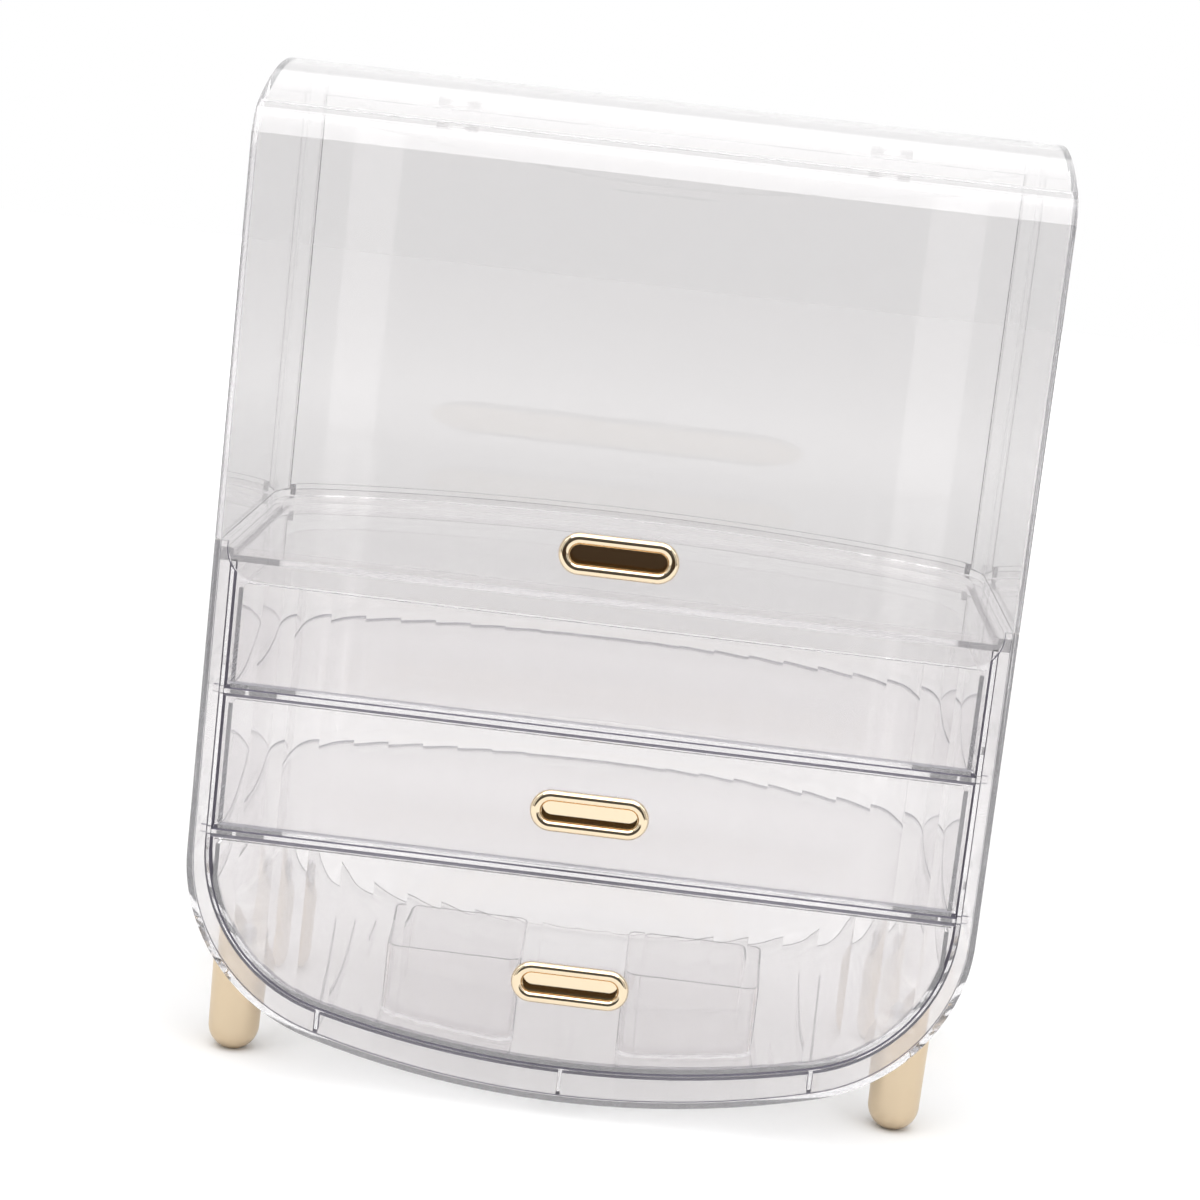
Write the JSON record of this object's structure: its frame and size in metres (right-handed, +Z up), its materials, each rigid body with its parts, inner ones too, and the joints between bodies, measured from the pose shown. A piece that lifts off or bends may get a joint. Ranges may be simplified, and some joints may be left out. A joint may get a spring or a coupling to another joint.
{
  "type": "makeup organizer",
  "caption": "Clear dustproof makeup organizer with a hinged hood over a deck, fluted drawers with gilt pulls, loose bins and bullet legs.",
  "frame": {"origin": "centre of the whole object's bounding box, on the surface that the legs stand on", "axes": "+X to the right seen from the front, +Y from the front to the back, +Z up"},
  "size_m": [0.3, 0.1924, 0.3855],
  "materials": {
    "clear_plastic": "clear moulded polystyrene, polished",
    "gilt_metal": "gilt plating, satin",
    "steel": "bright steel"
  },
  "bodies": {
    "case": {"outer_shell": "clear_plastic", "inner_frame": "clear_plastic", "lower_shelf": "clear_plastic", "upper_shelf": "clear_plastic", "deck": "clear_plastic", "back_hood": "clear_plastic", "hinge_pin_left": "clear_plastic", "hinge_pin_right": "clear_plastic", "leg_front_left": "gilt_metal", "leg_front_right": "gilt_metal", "leg_back_left": "gilt_metal", "leg_back_right": "gilt_metal", "leg_screws": "steel"},
    "lid": {"lid": "clear_plastic", "lid_pull": "gilt_metal"},
    "top_drawer": {"top_drawer": "clear_plastic"},
    "middle_drawer": {"middle_drawer": "clear_plastic", "middle_pull": "gilt_metal"},
    "bottom_drawer": {"bottom_drawer": "clear_plastic", "bottom_pull": "gilt_metal", "bin_left": "clear_plastic", "bin_right": "clear_plastic"}
  },
  "joints": [
    {"name": "lid_hinge", "type": "hinge", "parent": "case", "child": "lid", "pos_m": [0, 0.0492, 0.37876], "axis": [-1, 0, 0], "range_deg": [0, 130]},
    {"name": "top_drawer_slide", "type": "slide", "parent": "case", "child": "top_drawer", "axis": [0, -1, 0], "range_m": [0, 0.13]},
    {"name": "middle_drawer_slide", "type": "slide", "parent": "case", "child": "middle_drawer", "axis": [0, -1, 0], "range_m": [0, 0.13]},
    {"name": "bottom_drawer_slide", "type": "slide", "parent": "case", "child": "bottom_drawer", "axis": [0, -1, 0], "range_m": [0, 0.13]}
  ]
}
